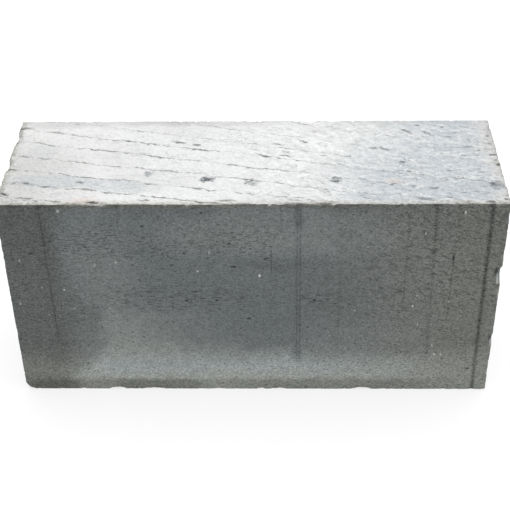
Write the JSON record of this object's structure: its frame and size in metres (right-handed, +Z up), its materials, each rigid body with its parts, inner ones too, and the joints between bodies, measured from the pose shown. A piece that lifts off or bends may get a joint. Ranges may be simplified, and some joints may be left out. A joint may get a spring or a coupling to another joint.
{
  "type": "aerated concrete block",
  "caption": "Solid wire-cut aerated concrete wall block with a torn, ridged top bed, fine score lines down its front face and knocked arrises.",
  "frame": {"origin": "centre of the bottom bed, on the surface that the block stands on", "axes": "+X to the right along the length, +Y through the thickness away from the pictured face, +Z up"},
  "size_m": [0.44, 0.14, 0.215],
  "materials": {
    "concrete": "matt, open-pored grey aerated concrete, paler and powdery on the torn beds"
  },
  "bodies": {
    "root": {"block": "concrete"}
  },
  "joints": []
}
